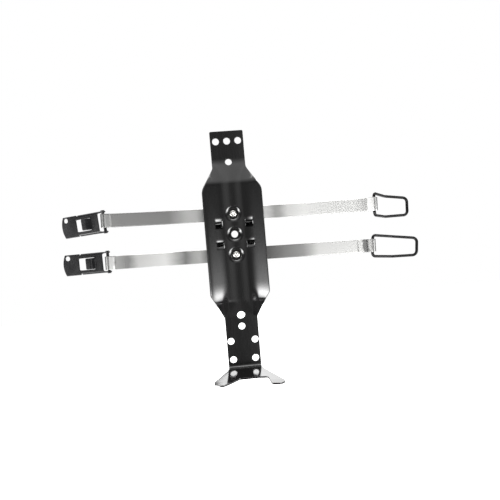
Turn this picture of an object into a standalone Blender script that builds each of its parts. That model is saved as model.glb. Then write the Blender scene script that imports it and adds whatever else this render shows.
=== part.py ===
"""Two-strap wall bracket for a small fire extinguisher.

A pressed steel plate has a tab at each end for wall screws, a raised saddle for the cylinder and a
foot under it. Two steel straps are riveted behind the saddle. Each one carries an over-centre latch
lever at its left end and a wire bail at its right end.

Metres. +Z up, +X right, the cylinder's side faces -Y, and the wall plane is Y = 0. The origin is on
the wall face of the upper tab. Levels inside the script are counted from the middle dimple, and
"forward" is the distance from the wall plane towards the cylinder.
"""

import math

import bmesh
import bpy
from mathutils import Matrix, Vector
import numpy as np

# Clearances
SEAT_GAP = 0.0003
LOOP_PLAY = 0.0008
CUT_PASS = 0.00005

# Back plate: sheet, levels and widths
SHEET = 0.0015
ORIGIN_LEVEL = 0.0728
TOP_EDGE = 0.0909
UPPER_BEND = 0.0644
UPPER_RIDGE = 0.0448
LOWER_RIDGE = -0.0582
LOWER_BEND = -0.0742
FOOT_BEND = -0.1191
SADDLE_LIFT = 0.0065
PRESS_RADIUS = 0.006
UPPER_TAB_HALF = 0.0147
TAB_CORNER = 0.0012
SHOULDER_TOP = 0.0580
SHOULDER_FOOT = 0.0392
BODY_HALF = 0.0259
BODY_CORNER = -0.0520
NECK = -0.0728
LOWER_TAB_HALF = 0.0146
SHOULDER_RADIUS = 0.014
CORNER_RADIUS = 0.006
STRIP_HALF = 0.009
WING_RADIUS = 0.024

# Foot, measured forward along its own slope from the bend line, or back from the prongs' ends
FOOT_SLOPE = math.radians(6.7)
FOOT_SKEW = 0.0019
FOOT_RADIUS = 0.004
FOOT_ROOT_LENGTH = 0.009
FOOT_ROOT_FLARE = 0.0015
FOOT_LENGTH = 0.0425
FOOT_HALF = 0.0294
TIP_SETBACK = 0.0035
TIP_CORNER = 0.0045
FLARE_SETBACK = 0.0075
FLARE_CORNER = 0.0005
NOTCH_DEPTH = 0.0145
NOTCH_RIGHT = 0.0163
NOTCH_RIGHT_RUN = 0.0012
NOTCH_LEFT = 0.0074
NOTCH_LEFT_RUN = 0.0140

# Screw holes
SCREW_RADIUS = 0.0030
KEY_RADIUS = 0.0036
TOP_ROW = 0.0820
TOP_ROW_PITCH = 0.0098
TOP_SINGLE = 0.0633
SLOPE_HOLE = -0.0713
LOWER_SINGLE = -0.0818
UPPER_PAIR = -0.0945
UPPER_PAIR_HALF = 0.0108
LOWER_PAIR = -0.1110
LOWER_PAIR_HALF = 0.0099

# Dimples and rivets
DIMPLE_PITCH = 0.0179
DIMPLE_DEPTH = 0.0020
DIMPLE_RIM = 0.0063
DIMPLE_FLOOR = 0.0046
DIMPLE_WALL = 0.0010
OPEN_HOLE_RADIUS = 0.0030
RIVET_SHANK = 0.0020
RIVET_HEAD = 0.0030
RIVET_HEAD_HEIGHT = 0.0012
RIVET_TAIL = 0.0033
RIVET_TAIL_HEIGHT = 0.0013
RIVET_PIT = 0.0008

# Stop tabs lanced out of the saddle beside the straps
WINDOW_WIDTH = 0.0070
WINDOW_HEIGHT = 0.0035
WINDOW_OFFSET = 0.0134
STOP_WIDTH = 0.0060

# Straps, measured along the band from the rivet
STRAP_WIDTH = 0.0116
STRAP_SHEET = 0.0007
STRAP_TURN = math.radians(1.0)
STRAP_LEFT = 0.1103
STRAP_RIGHT = 0.1226
STRAP_FLAT = 0.0120
LAYER_GAP = 0.0001
TAIL_LENGTH = 0.0132
TAIL_SPLIT = 0.0050
WELD_PLACE = 0.0087
WELD_RADIUS = 0.0015
UPPER_CURL = (math.radians(16.0), math.radians(20.0))
LOWER_CURL = (math.radians(3.0), math.radians(0.5))

# Latch levers, measured from the pin's axis
PIN_RADIUS = 0.00125
PIN_HEAD = 0.0017
PIN_HEAD_HEIGHT = 0.0004
LEVER_SHEET = 0.0012
LEVER_WIDTH = 0.0180
LEVER_FACE = 0.0027
LEVER_EDGE = 0.0008
LEVER_BASE_START = 0.0042
LEVER_EAR_LENGTH = 0.0090
LEVER_EAR_REACH = 0.0021
FLANGE_STEP = 0.0020
FLANGE_LEDGE = -0.0006
FLANGE_END = 0.0230
FLANGE_END_CUT = 0.0009
LEVER_LENGTH = 0.0388
LEVER_END_RADIUS = 0.020
RELIEF_WIDTH = 0.0009
RELIEF_DEPTH = 0.0009
LEVER_WINDOW_START = 0.0108
LEVER_WINDOW_END = 0.0249
LEVER_WINDOW_WIDTH = 0.0099
TONGUE_SHEET = 0.0011
TONGUE_WIDTH = 0.0095
TONGUE_RISE = 0.0040
TONGUE_STEM_RUN = 0.0022
TONGUE_END = 0.0172
CORNER_HOLE_RADIUS = 0.0020
CORNER_HOLE_FROM_END = 0.0044
CORNER_HOLE_FROM_SIDE = 0.0031

# Wire bails, measured along the bail from its bar in the loop
WIRE_RADIUS = 0.00125
BAIL_BAR_WIDTH = 0.0214
BAIL_KINK_WIDTH = 0.0206
BAIL_END_WIDTH = 0.0176
BAIL_LENGTH = 0.0439
BAIL_KINK_PLACE = 0.0205
BAIL_KINK = math.radians(41.0)
BAIL_KINK_RADIUS = 0.004
BAIL_BAR_CORNER = 0.00275
BAIL_END_CORNER = 0.0040

# Rest places: swing towards the cylinder about the pin or bar, lean in the strap's plane, tilt of the
# axis out of that plane, and slide along the axis
LEVER_REST = {"upper": (math.radians(-20.0), math.radians(-5.0), 0.0, -0.0008),
              "lower": (math.radians(-9.0), math.radians(-1.8), 0.0, 0.0011)}
BAIL_REST = {"upper": (math.radians(-45.0), math.radians(2.6), math.radians(-4.5), -0.0002),
             "lower": (math.radians(-14.0), math.radians(5.0), math.radians(-3.0), -0.0003)}

# Facets
HOLE_SIDES = 20
TURNED_SIDES = 28
CORNER_STEPS = 3
LOOP_STEPS = 18
WING_STEPS = 5
ROW_GAP = 0.0003

# Levels worked out from the sizes above
DIMPLE_BACK = SADDLE_LIFT - DIMPLE_DEPTH
STRAP_FRONT = DIMPLE_BACK - SEAT_GAP
STRAP_MIDDLE = STRAP_FRONT - STRAP_SHEET / 2
STRAP_BACK = STRAP_FRONT - STRAP_SHEET
LAYER_STEP = STRAP_SHEET + LAYER_GAP
LOOP_INSIDE = PIN_RADIUS + LOOP_PLAY
RIVET_HOLE = RIVET_SHANK + SEAT_GAP


def clear_scene():
    for thing in list(bpy.data.objects):
        bpy.data.objects.remove(thing, do_unlink=True)


def material(name, color, metallic, roughness):
    """A Principled material with the finish seen on the real piece."""
    made = bpy.data.materials.new(name)
    made.use_nodes = True
    shader = made.node_tree.nodes["Principled BSDF"]
    shader.inputs["Base Color"].default_value = (*color, 1.0)
    shader.inputs["Metallic"].default_value = metallic
    shader.inputs["Roughness"].default_value = roughness
    made.diffuse_color = (*color, 1.0)
    return made


def point(across, forward, up):
    """A place given as distance to the right, forward from the wall, and up."""
    return Vector((across, -forward, up))


def empty(name, parent=None, place=(0.0, 0.0, 0.0), turn=0.0):
    """A frame for other pieces, turned about the forward axis."""
    frame = bpy.data.objects.new(name, None)
    bpy.context.scene.collection.objects.link(frame)
    frame.parent = parent
    frame.location = place
    frame.rotation_euler = (0.0, turn, 0.0)
    return frame


def finish(name, shape, parent=None, paint=None):
    """Turns a bmesh into a named object with its faces pointing out."""
    bmesh.ops.recalc_face_normals(shape, faces=shape.faces)
    mesh = bpy.data.meshes.new(name)
    shape.to_mesh(mesh)
    shape.free()
    made = bpy.data.objects.new(name, mesh)
    bpy.context.scene.collection.objects.link(made)
    made.parent = parent
    if paint:
        mesh.materials.append(paint)
        mesh.shade_smooth()
        mesh.set_sharp_from_angle(angle=math.radians(32.0))
    return made


def as_cutter(made):
    made.hide_render = True
    made.display_type = "WIRE"
    return made


def combine(target, other, operation, overlapping=False):
    """Adds a Boolean modifier. The other shape's own solids may overlap if it is told so."""
    step = target.modifiers.new(f"{operation.lower()}_{other.name}", "BOOLEAN")
    step.operation = operation
    step.object = other
    step.solver = "EXACT"
    step.use_self = overlapping
    as_cutter(other)


def extruded(shape, outline, along):
    """Adds a prism to the bmesh: a flat outline pushed along a vector."""
    corners = [shape.verts.new(place) for place in outline]
    base = shape.faces.new(corners)
    pushed = bmesh.ops.extrude_face_region(shape, geom=[base])["geom"]
    moved = [part for part in pushed if isinstance(part, bmesh.types.BMVert)]
    bmesh.ops.translate(shape, verts=moved, vec=along)
    return corners + moved


def block(shape, low, high):
    """Adds a box between two corners given as (across, forward, up)."""
    outline = [point(low[0], low[1], low[2]), point(high[0], low[1], low[2]),
               point(high[0], low[1], high[2]), point(low[0], low[1], high[2])]
    extruded(shape, outline, point(0.0, high[1] - low[1], 0.0))


def turned(shape, profile, sides, axis, centre=Vector((0.0, 0.0, 0.0))):
    """Adds a solid of revolution. The profile is (radius, distance along the axis)."""
    side = Vector((1.0, 0.0, 0.0))
    places = [centre + side * radius + axis * along for radius, along in profile]
    rim = [shape.verts.new(place) for place in places]
    edges = [shape.edges.new(pair) for pair in zip(rim, rim[1:])]
    before = set(shape.verts) - set(rim)
    bmesh.ops.spin(shape, geom=rim + edges, cent=centre, axis=axis, angle=math.tau,
                   steps=sides, use_merge=True)
    made = [vert for vert in shape.verts if vert not in before]
    bmesh.ops.remove_doubles(shape, verts=made, dist=1e-6)


def drill(shape, radius, across, up, low, high):
    """Adds a drill through the sheet, from one forward distance to another."""
    profile = [(0.0, low), (radius, low), (radius, high), (0.0, high)]
    turned(shape, profile, HOLE_SIDES, point(0.0, 1.0, 0.0), point(across, 0.0, up))


def rounded(corners, radii, steps):
    """A path through the corners, each one replaced by an arc of its radius."""
    path = [Vector(corners[0])]
    for before, corner, after, radius in zip(corners, corners[1:], corners[2:], radii):
        path += corner_arc(Vector(before), Vector(corner), Vector(after), radius, steps)
    path.append(Vector(corners[-1]))
    return path


def corner_arc(before, corner, after, radius, steps):
    """Points of an arc that touches both sides of a corner."""
    back = (before - corner).normalized()
    ahead = (after - corner).normalized()
    opening = back.angle(ahead)
    if math.pi - opening < 1e-6:
        return [corner]
    reach = min(radius / math.tan(opening / 2), (before - corner).length * 0.49,
                (after - corner).length * 0.49)
    radius = reach * math.tan(opening / 2)
    middle = corner + (back + ahead).normalized() * radius / math.sin(opening / 2)
    start = corner + back * reach - middle
    end = corner + ahead * reach - middle
    sweep = start.angle(end)
    points = []
    for step in range(steps + 1):
        share = step / steps
        mix = start * math.sin((1 - share) * sweep) + end * math.sin(share * sweep)
        points.append(middle + mix / math.sin(sweep))
    return points


def wing_rise(across):
    """How far the saddle's section rises forward of its flat centre strip."""
    out = max(0.0, abs(across) - STRIP_HALF)
    return WING_RADIUS - math.sqrt(WING_RADIUS ** 2 - out ** 2)


def plate_side():
    """The plate's edge from top to foot, as (half width, level)."""
    corners = [(UPPER_TAB_HALF, TOP_EDGE - TAB_CORNER), (UPPER_TAB_HALF, SHOULDER_TOP),
               (BODY_HALF, SHOULDER_FOOT), (BODY_HALF, BODY_CORNER), (LOWER_TAB_HALF, NECK),
               (LOWER_TAB_HALF, FOOT_BEND)]
    radii = [CORNER_RADIUS / 2, SHOULDER_RADIUS, CORNER_RADIUS, CORNER_RADIUS]
    top = [Vector((UPPER_TAB_HALF - TAB_CORNER * (1 - math.sin(turn)),
                   TOP_EDGE - TAB_CORNER * (1 - math.cos(turn))))
           for turn in np.linspace(0.0, math.pi / 2, CORNER_STEPS, endpoint=False)]
    return top + rounded(corners, radii, CORNER_STEPS)


def plate_spine():
    """The rear face's centre line from the top edge to the foot, as (forward, level)."""
    foot_end = (FOOT_LENGTH * math.cos(FOOT_SLOPE), FOOT_BEND - FOOT_LENGTH * math.sin(FOOT_SLOPE))
    corners = [(0.0, TOP_EDGE), (0.0, UPPER_BEND), (SADDLE_LIFT, UPPER_RIDGE),
               (SADDLE_LIFT, LOWER_RIDGE), (0.0, LOWER_BEND), (0.0, FOOT_BEND), foot_end]
    radii = [PRESS_RADIUS] * 4 + [FOOT_RADIUS]
    return rounded(corners, radii, CORNER_STEPS + 1)


def plate_rows():
    """Rows of the pressed sheet as (half width, forward, level, share of the wings)."""
    side = plate_side()
    spine = plate_spine()
    bend = spine[-(CORNER_STEPS + 3)]
    levels = [TOP_EDGE]
    for level in sorted((place[1] for place in side + spine if place[1] > bend[1]), reverse=True):
        if levels[-1] - level > ROW_GAP:
            levels.append(level)
    wall = [place for place in spine if place[1] >= bend[1]]
    rows = []
    for level in levels:
        half = np.interp(-level, [-place[1] for place in side], [place[0] for place in side])
        forward = np.interp(-level, [-place[1] for place in wall], [place[0] for place in wall])
        rows.append((half, forward, level, forward / SADDLE_LIFT))
    for place in spine[-(CORNER_STEPS + 3):-1]:
        rows.append((LOWER_TAB_HALF, place[0], place[1], 0.0))
    return rows


def plate_columns():
    """Shares of the half width at which the sheet has a line of vertices."""
    strip = STRIP_HALF / BODY_HALF
    wing = np.linspace(strip, 1.0, WING_STEPS + 1)
    return [*(-wing[::-1]), 0.0, *wing]


def sheet_rows(columns):
    """Places on the rear face of the plate, one list for each row."""
    rows = []
    for half, forward, level, share in plate_rows():
        rows.append([point(half * column, forward + share * wing_rise(half * column), level)
                     for column in columns])
    foot_side = [(FOOT_ROOT_LENGTH, LOWER_TAB_HALF + FOOT_ROOT_FLARE),
                 (FOOT_LENGTH - FLARE_SETBACK, FOOT_HALF - FLARE_CORNER),
                 (FOOT_LENGTH - TIP_SETBACK, FOOT_HALF), (FOOT_LENGTH, FOOT_HALF - TIP_CORNER)]
    for length, half in foot_side:
        rows.append([foot_place(column * half, length, bent_share(column)) for column in columns])
    return rows


def bent_share(column):
    """How far a column of the foot lies out on its bent sides: 0 over the flat middle, 1 at an edge."""
    flat = STRIP_HALF / BODY_HALF
    return math.copysign(max(0.0, abs(column) - flat) / (1.0 - flat), column)


def foot_place(across, length, bent=0.0):
    """A place on the foot's underside, whose right side is bent down and left side up by the skew."""
    drop = length * math.sin(FOOT_SLOPE) + bent * FOOT_SKEW * length / FOOT_LENGTH
    return point(across, length * math.cos(FOOT_SLOPE), FOOT_BEND - drop)


def plate_sheet(frame, paint):
    """The pressed sheet as a grid on its rear face, thickened towards the cylinder."""
    shape = bmesh.new()
    rows = [[shape.verts.new(place) for place in row] for row in sheet_rows(plate_columns())]
    for upper, lower in zip(rows, rows[1:]):
        for left in range(len(upper) - 1):
            shape.faces.new((upper[left], lower[left], lower[left + 1], upper[left + 1]))
    plate = finish("back_plate", shape, frame, paint)
    if plate.data.polygons[0].normal.y > 0:
        plate.data.flip_normals()
    sheet = plate.modifiers.new("sheet", "SOLIDIFY")
    sheet.thickness = SHEET
    sheet.offset = 1.0
    sheet.use_even_offset = True
    return plate


def stop_face(side):
    """Level of the stop tabs' face next to the upper (1) or lower (-1) strap's edge."""
    lean = (WINDOW_OFFSET + WINDOW_WIDTH / 2) * math.tan(STRAP_TURN)
    return side * (DIMPLE_PITCH - STRAP_WIDTH / 2 - lean - SEAT_GAP)


def plate_additions(frame):
    """Dimple cups and stop tabs, joined to the sheet's rear."""
    shape = bmesh.new()
    inside = SADDLE_LIFT + SHEET / 2
    cup = [(0.0, DIMPLE_BACK), (DIMPLE_FLOOR + DIMPLE_WALL / 2, DIMPLE_BACK),
           (DIMPLE_RIM + DIMPLE_WALL, inside), (0.0, inside)]
    for step in (-1, 0, 1):
        turned(shape, cup, TURNED_SIDES, point(0.0, 1.0, 0.0), point(0.0, 0.0, step * DIMPLE_PITCH))
    for side in (-1, 1):
        for hand in (-1, 1):
            centre = hand * WINDOW_OFFSET
            root = SADDLE_LIFT + wing_rise(WINDOW_OFFSET) + SHEET / 2
            face = stop_face(side)
            near = sorted((face, face - side * SHEET))
            block(shape, (centre - STOP_WIDTH / 2, STRAP_BACK - SEAT_GAP, near[0]),
                  (centre + STOP_WIDTH / 2, root, near[1]))
    return finish("plate_additions", shape, frame)


def foot_notch(shape):
    """The gap between the foot's prongs: steep on its right, slanted on its left."""
    past = 1.2
    start = FOOT_LENGTH - NOTCH_DEPTH
    end = start + NOTCH_DEPTH * past
    corners = [(-NOTCH_LEFT, start), (NOTCH_RIGHT, start), (NOTCH_RIGHT + NOTCH_RIGHT_RUN * past, end),
               (-NOTCH_LEFT - NOTCH_LEFT_RUN * past, end)]
    low = foot_place(0.0, FOOT_LENGTH).z - 4 * SHEET
    outline = [point(across, length * math.cos(FOOT_SLOPE), low) for across, length in corners]
    extruded(shape, outline, Vector((0.0, 0.0, FOOT_BEND + 2 * SHEET - low)))


def plate_cutters(frame):
    """Dimple hollows, windows, the foot's notch and every hole in the plate."""
    shape = bmesh.new()
    foot_notch(shape)
    floor = DIMPLE_BACK + SHEET
    flare = (DIMPLE_RIM - DIMPLE_FLOOR) / DIMPLE_DEPTH
    far = SADDLE_LIFT + SHEET + DIMPLE_DEPTH / 2
    hollow = [(DIMPLE_FLOOR, floor), (DIMPLE_FLOOR + flare * (far - floor), far), (0.0, far)]
    for step in (-1, 0, 1):
        radius = RIVET_HOLE if step else OPEN_HOLE_RADIUS
        back = DIMPLE_BACK - SHEET
        profile = [(0.0, back), (radius, back), (radius, floor)] + hollow
        turned(shape, profile, TURNED_SIDES, point(0.0, 1.0, 0.0), point(0.0, 0.0, step * DIMPLE_PITCH))
    for side in (-1, 1):
        for hand in (-1, 1):
            centre = hand * WINDOW_OFFSET
            near = stop_face(side) - side * (SHEET - CUT_PASS)
            span = sorted((near, near - side * WINDOW_HEIGHT))
            block(shape, (centre - WINDOW_WIDTH / 2, DIMPLE_BACK, span[0]),
                  (centre + WINDOW_WIDTH / 2, SADDLE_LIFT + 4 * SHEET, span[1]))
    holes = [(0.0, TOP_ROW, SCREW_RADIUS), (-TOP_ROW_PITCH, TOP_ROW, SCREW_RADIUS),
             (TOP_ROW_PITCH, TOP_ROW, SCREW_RADIUS), (0.0, TOP_SINGLE, SCREW_RADIUS),
             (0.0, SLOPE_HOLE, KEY_RADIUS), (0.0, LOWER_SINGLE, SCREW_RADIUS),
             (-UPPER_PAIR_HALF, UPPER_PAIR, SCREW_RADIUS), (UPPER_PAIR_HALF, UPPER_PAIR, SCREW_RADIUS),
             (-LOWER_PAIR_HALF, LOWER_PAIR, SCREW_RADIUS), (LOWER_PAIR_HALF, LOWER_PAIR, SCREW_RADIUS)]
    for across, up, radius in holes:
        drill(shape, radius, across, up, -SHEET, SADDLE_LIFT)
    return finish("plate_cutters", shape, frame)


def back_plate(frame, paint):
    plate = plate_sheet(frame, paint)
    combine(plate, plate_additions(frame), "UNION")
    combine(plate, plate_cutters(frame), "DIFFERENCE")
    return plate


def rivet(name, frame, paint):
    """A turned rivet: domed head in the dimple, shank, and set tail behind the strap."""
    under = DIMPLE_BACK + SHEET + SEAT_GAP
    top = under + RIVET_HEAD_HEIGHT
    tail = STRAP_BACK - SEAT_GAP
    end = tail - RIVET_TAIL_HEIGHT
    profile = [(0.0, end), (RIVET_TAIL * 0.7, end), (RIVET_TAIL * 0.94, end + RIVET_TAIL_HEIGHT * 0.3),
               (RIVET_TAIL, tail), (RIVET_SHANK, tail), (RIVET_SHANK, under), (RIVET_HEAD, under),
               (RIVET_HEAD, under + RIVET_HEAD_HEIGHT * 0.45),
               (RIVET_HEAD * 0.88, top - RIVET_HEAD_HEIGHT * 0.2), (RIVET_HEAD * 0.6, top),
               (RIVET_PIT, top), (RIVET_PIT * 0.8, top - RIVET_HEAD_HEIGHT * 0.5),
               (0.0, top - RIVET_HEAD_HEIGHT * 0.5)]
    shape = bmesh.new()
    turned(shape, profile, TURNED_SIDES, point(0.0, 1.0, 0.0))
    return finish(name, shape, frame, paint)


def band_place(length, along, curl):
    """Place and direction on the band's middle line at a distance from the rivet, curling forward."""
    if along <= STRAP_FLAT:
        return Vector((along, STRAP_MIDDLE)), 0.0
    radius = (length - STRAP_FLAT) / curl
    turn = (along - STRAP_FLAT) / radius
    place = Vector((STRAP_FLAT + radius * math.sin(turn), STRAP_MIDDLE + radius * (1 - math.cos(turn))))
    return place, turn


def end_frame(length, curl):
    """Loop centre, outward direction and front direction at the end of a band."""
    place, turn = band_place(length, length, curl)
    out = Vector((math.cos(turn), math.sin(turn)))
    front = Vector((-math.sin(turn), math.cos(turn)))
    return place + front * LAYER_STEP / 2, out, front


def half_band(length, curl):
    """Middle line of half a band, from the rivet out, round the loop and back to the tail's end."""
    places = [STRAP_FLAT * share for share in (0.5, 1.0)]
    places += list(np.linspace(STRAP_FLAT, length - TAIL_SPLIT, 9)[1:])
    path = [band_place(length, along, curl)[0] for along in places]
    centre, out, front = end_frame(length, curl)
    radius = LOOP_INSIDE + STRAP_SHEET / 2
    reach = math.hypot(TAIL_SPLIT, LAYER_STEP / 2)
    start = math.pi - math.atan2(LAYER_STEP / 2, TAIL_SPLIT) - math.acos(radius / reach)
    for turn in np.linspace(-start, start, LOOP_STEPS):
        path.append(centre + out * radius * math.cos(turn) + front * radius * math.sin(turn))
    for along in (length - TAIL_SPLIT, length - WELD_PLACE, length - TAIL_LENGTH):
        place, turn = band_place(length, along, curl)
        path.append(place + Vector((-math.sin(turn), math.cos(turn))) * LAYER_STEP)
    return path


def ribbon(path, thickness):
    """Closed outline of a strip of sheet bent along a path."""
    sides = ([], [])
    for number, place in enumerate(path):
        before = path[max(number - 1, 0)]
        after = path[min(number + 1, len(path) - 1)]
        first = (place - before).normalized() if number else (after - place).normalized()
        last = (after - place).normalized() if number < len(path) - 1 else first
        normal = Vector((-(first + last).y, (first + last).x)).normalized()
        stretch = thickness / 2 / max(0.3, normal.dot(Vector((-first.y, first.x))))
        sides[0].append(place + normal * stretch)
        sides[1].append(place - normal * stretch)
    return sides[0] + sides[1][::-1]


def strap(name, frame, curls, paint):
    """A steel band with a welded loop at each end and a hole for its rivet."""
    left, right = curls
    right_half = half_band(STRAP_RIGHT, right)
    left_half = [Vector((-place.x, place.y)) for place in half_band(STRAP_LEFT, left)]
    path = right_half[::-1] + left_half
    outline = [point(place.x, place.y, -STRAP_WIDTH / 2) for place in ribbon(path, STRAP_SHEET)]
    shape = bmesh.new()
    extruded(shape, outline, Vector((0.0, 0.0, STRAP_WIDTH)))
    band = finish(name, shape, frame, paint)
    welds = bmesh.new()
    for length, curl, hand in ((STRAP_RIGHT, right, 1), (STRAP_LEFT, left, -1)):
        place, turn = band_place(length, length - WELD_PLACE, curl)
        front = point(-hand * math.sin(turn), math.cos(turn), 0.0)
        centre = point(hand * place.x, place.y, 0.0)
        nugget = [(0.0, 0.0), (WELD_RADIUS, 0.0), (WELD_RADIUS, LAYER_STEP), (0.0, LAYER_STEP)]
        weld(welds, nugget, centre, front)
    combine(band, finish(f"{name}_welds", welds, frame), "UNION")
    hole = bmesh.new()
    drill(hole, RIVET_HOLE, 0.0, 0.0, STRAP_BACK - SHEET, STRAP_FRONT + SHEET)
    combine(band, finish(f"{name}_hole", hole, frame), "DIFFERENCE")
    return band


def weld(shape, profile, centre, front):
    """A spot weld's nugget, turned about the band's own normal."""
    nugget = bmesh.new()
    turned(nugget, profile, HOLE_SIDES, Vector((0.0, 0.0, 1.0)))
    turn = Vector((0.0, 0.0, 1.0)).rotation_difference(front).to_matrix().to_4x4()
    nugget.transform(Matrix.Translation(centre) @ turn)
    piece = bpy.data.meshes.new("nugget")
    nugget.to_mesh(piece)
    nugget.free()
    shape.from_mesh(piece)
    bpy.data.meshes.remove(piece)


def lever_outline():
    """Side view of a lever as (distance from the pin, height towards the cylinder)."""
    ear = [Vector((-LEVER_EAR_REACH * math.sin(turn), LEVER_FACE * math.cos(turn)))
           for turn in np.linspace(0.0, math.pi, 11)]
    inner = LEVER_FACE - LEVER_SHEET
    rest = [(LEVER_EAR_LENGTH, -LEVER_FACE), (LEVER_EAR_LENGTH + FLANGE_STEP, FLANGE_LEDGE),
            (FLANGE_END - FLANGE_END_CUT, FLANGE_LEDGE), (FLANGE_END, FLANGE_LEDGE + FLANGE_END_CUT),
            (FLANGE_END, inner), (LEVER_LENGTH, inner), (LEVER_LENGTH, LEVER_FACE)]
    return ear + [Vector(corner) for corner in rest]


def lever_cutters(frame):
    """Everything cut away from a lever's blank."""
    half = LEVER_WIDTH / 2
    inside = half - LEVER_SHEET
    under = LEVER_FACE - LEVER_SHEET + CUT_PASS
    deep = 2 * LEVER_FACE
    shape = bmesh.new()
    channel = [(deep, -deep), (-FLANGE_END - RELIEF_WIDTH, -deep), (-FLANGE_END - RELIEF_WIDTH, under),
               (-LEVER_BASE_START, under), (-LEVER_BASE_START, deep), (deep, deep)]
    extruded(shape, [point(across, forward, -inside) for across, forward in channel],
             Vector((0.0, 0.0, 2 * inside)))
    block(shape, (-LEVER_WINDOW_END, -deep, -LEVER_WINDOW_WIDTH / 2),
          (-LEVER_WINDOW_START, deep, LEVER_WINDOW_WIDTH / 2))
    for side in (-1, 1):
        edge = sorted((side * (half - RELIEF_DEPTH), side * (half + SHEET)))
        block(shape, (-FLANGE_END - RELIEF_WIDTH, -deep - SHEET, edge[0]),
              (-FLANGE_END + CUT_PASS, deep + SHEET, edge[1]))
    drop = LEVER_END_RADIUS - math.sqrt(LEVER_END_RADIUS ** 2 - half ** 2)
    sweep = math.asin(half / LEVER_END_RADIUS)
    centre = LEVER_LENGTH - LEVER_END_RADIUS
    end = [point(-centre - LEVER_END_RADIUS * math.cos(turn), -deep, LEVER_END_RADIUS * math.sin(turn))
           for turn in np.linspace(-sweep * 1.1, sweep * 1.1, 12)]
    end += [point(-LEVER_LENGTH - drop, -deep, half * 1.2), point(-LEVER_LENGTH - drop, -deep, -half * 1.2)]
    extruded(shape, end, point(0.0, 2 * deep, 0.0))
    drill(shape, CORNER_HOLE_RADIUS, CORNER_HOLE_FROM_END - LEVER_LENGTH, half - CORNER_HOLE_FROM_SIDE,
          -deep, deep)
    pin = [(0.0, -LEVER_WIDTH), (PIN_RADIUS + SEAT_GAP, -LEVER_WIDTH),
           (PIN_RADIUS + SEAT_GAP, LEVER_WIDTH), (0.0, LEVER_WIDTH)]
    turned(shape, pin, HOLE_SIDES, Vector((0.0, 0.0, 1.0)))
    return finish(f"{frame.name}_cutters", shape, frame)


def lever_tongue(frame):
    """The hook tongue, pushed out of the window towards the cylinder."""
    middle = LEVER_FACE - LEVER_SHEET / 2
    path = rounded([(LEVER_WINDOW_START - LEVER_SHEET, middle), (LEVER_WINDOW_START, middle),
                    (LEVER_WINDOW_START + TONGUE_STEM_RUN, middle + TONGUE_RISE),
                    (TONGUE_END, middle + TONGUE_RISE)], [TONGUE_SHEET, TONGUE_SHEET], CORNER_STEPS)
    outline = [point(-place.x, place.y, -TONGUE_WIDTH / 2) for place in ribbon(path, TONGUE_SHEET)]
    shape = bmesh.new()
    extruded(shape, outline, Vector((0.0, 0.0, TONGUE_WIDTH)))
    return finish(f"{frame.name}_tongue", shape, frame)


def latch_lever(name, frame, paint):
    """A pressed lever: a channel with ears at the pin, a window, a hook tongue and a pull tab."""
    half = LEVER_WIDTH / 2
    outline = [point(-place.x, place.y, -half) for place in lever_outline()]
    shape = bmesh.new()
    extruded(shape, outline, Vector((0.0, 0.0, LEVER_WIDTH)))
    long_edges = [edge for edge in shape.edges if edge.calc_length() > LEVER_LENGTH * 0.9
                  and all(abs(-vert.co.y - LEVER_FACE) < 1e-6 for vert in edge.verts)]
    bmesh.ops.bevel(shape, geom=long_edges, offset=LEVER_EDGE, segments=CORNER_STEPS, affect="EDGES",
                    profile=0.5)
    lever = finish(name, shape, frame, paint)
    combine(lever, lever_cutters(frame), "DIFFERENCE", overlapping=True)
    combine(lever, lever_tongue(frame), "UNION")
    return lever


def latch_pin(name, frame, paint):
    """The lever's pin, with a flat head outside each ear."""
    reach = LEVER_WIDTH / 2 + SEAT_GAP
    end = reach + PIN_HEAD_HEIGHT
    profile = [(0.0, -end), (PIN_HEAD * 0.85, -end), (PIN_HEAD, -end + PIN_HEAD_HEIGHT * 0.4),
               (PIN_HEAD, -reach), (PIN_RADIUS, -reach), (PIN_RADIUS, reach), (PIN_HEAD, reach),
               (PIN_HEAD, end - PIN_HEAD_HEIGHT * 0.4), (PIN_HEAD * 0.85, end), (0.0, end)]
    shape = bmesh.new()
    turned(shape, profile, HOLE_SIDES, Vector((0.0, 0.0, 1.0)))
    return finish(name, shape, frame, paint)


def bail_fold(along):
    """Outward and forward distance of a place on the bail's side, bent at the kink."""
    reach = BAIL_KINK_RADIUS * math.tan(BAIL_KINK / 2)
    start = BAIL_KINK_PLACE - reach
    arc = BAIL_KINK_RADIUS * BAIL_KINK
    if along <= start:
        return along, 0.0
    turn = min(along - start, arc) / BAIL_KINK_RADIUS
    out = start + BAIL_KINK_RADIUS * math.sin(turn)
    forward = BAIL_KINK_RADIUS * (1 - math.cos(turn))
    beyond = max(0.0, along - start - arc)
    return out + beyond * math.cos(BAIL_KINK), forward + beyond * math.sin(BAIL_KINK)


def bail_half():
    """Half of a bail's middle line laid flat, from the middle of its bar to the middle of its end."""
    bar, middle, end = [width / 2 - WIRE_RADIUS
                        for width in (BAIL_BAR_WIDTH, BAIL_KINK_WIDTH, BAIL_END_WIDTH)]
    length = BAIL_LENGTH - 2 * WIRE_RADIUS
    corners = [(0.0, 0.0), (0.0, bar), (BAIL_KINK_PLACE, middle), (length, end), (length, 0.0)]
    turn = math.atan2(middle - end, length - BAIL_KINK_PLACE) - math.atan2(bar - middle, BAIL_KINK_PLACE)
    spread = BAIL_KINK_RADIUS * BAIL_KINK / 2 / math.tan(abs(turn) / 2)
    return rounded(corners, [BAIL_BAR_CORNER, spread, BAIL_END_CORNER], CORNER_STEPS + 2)


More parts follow.
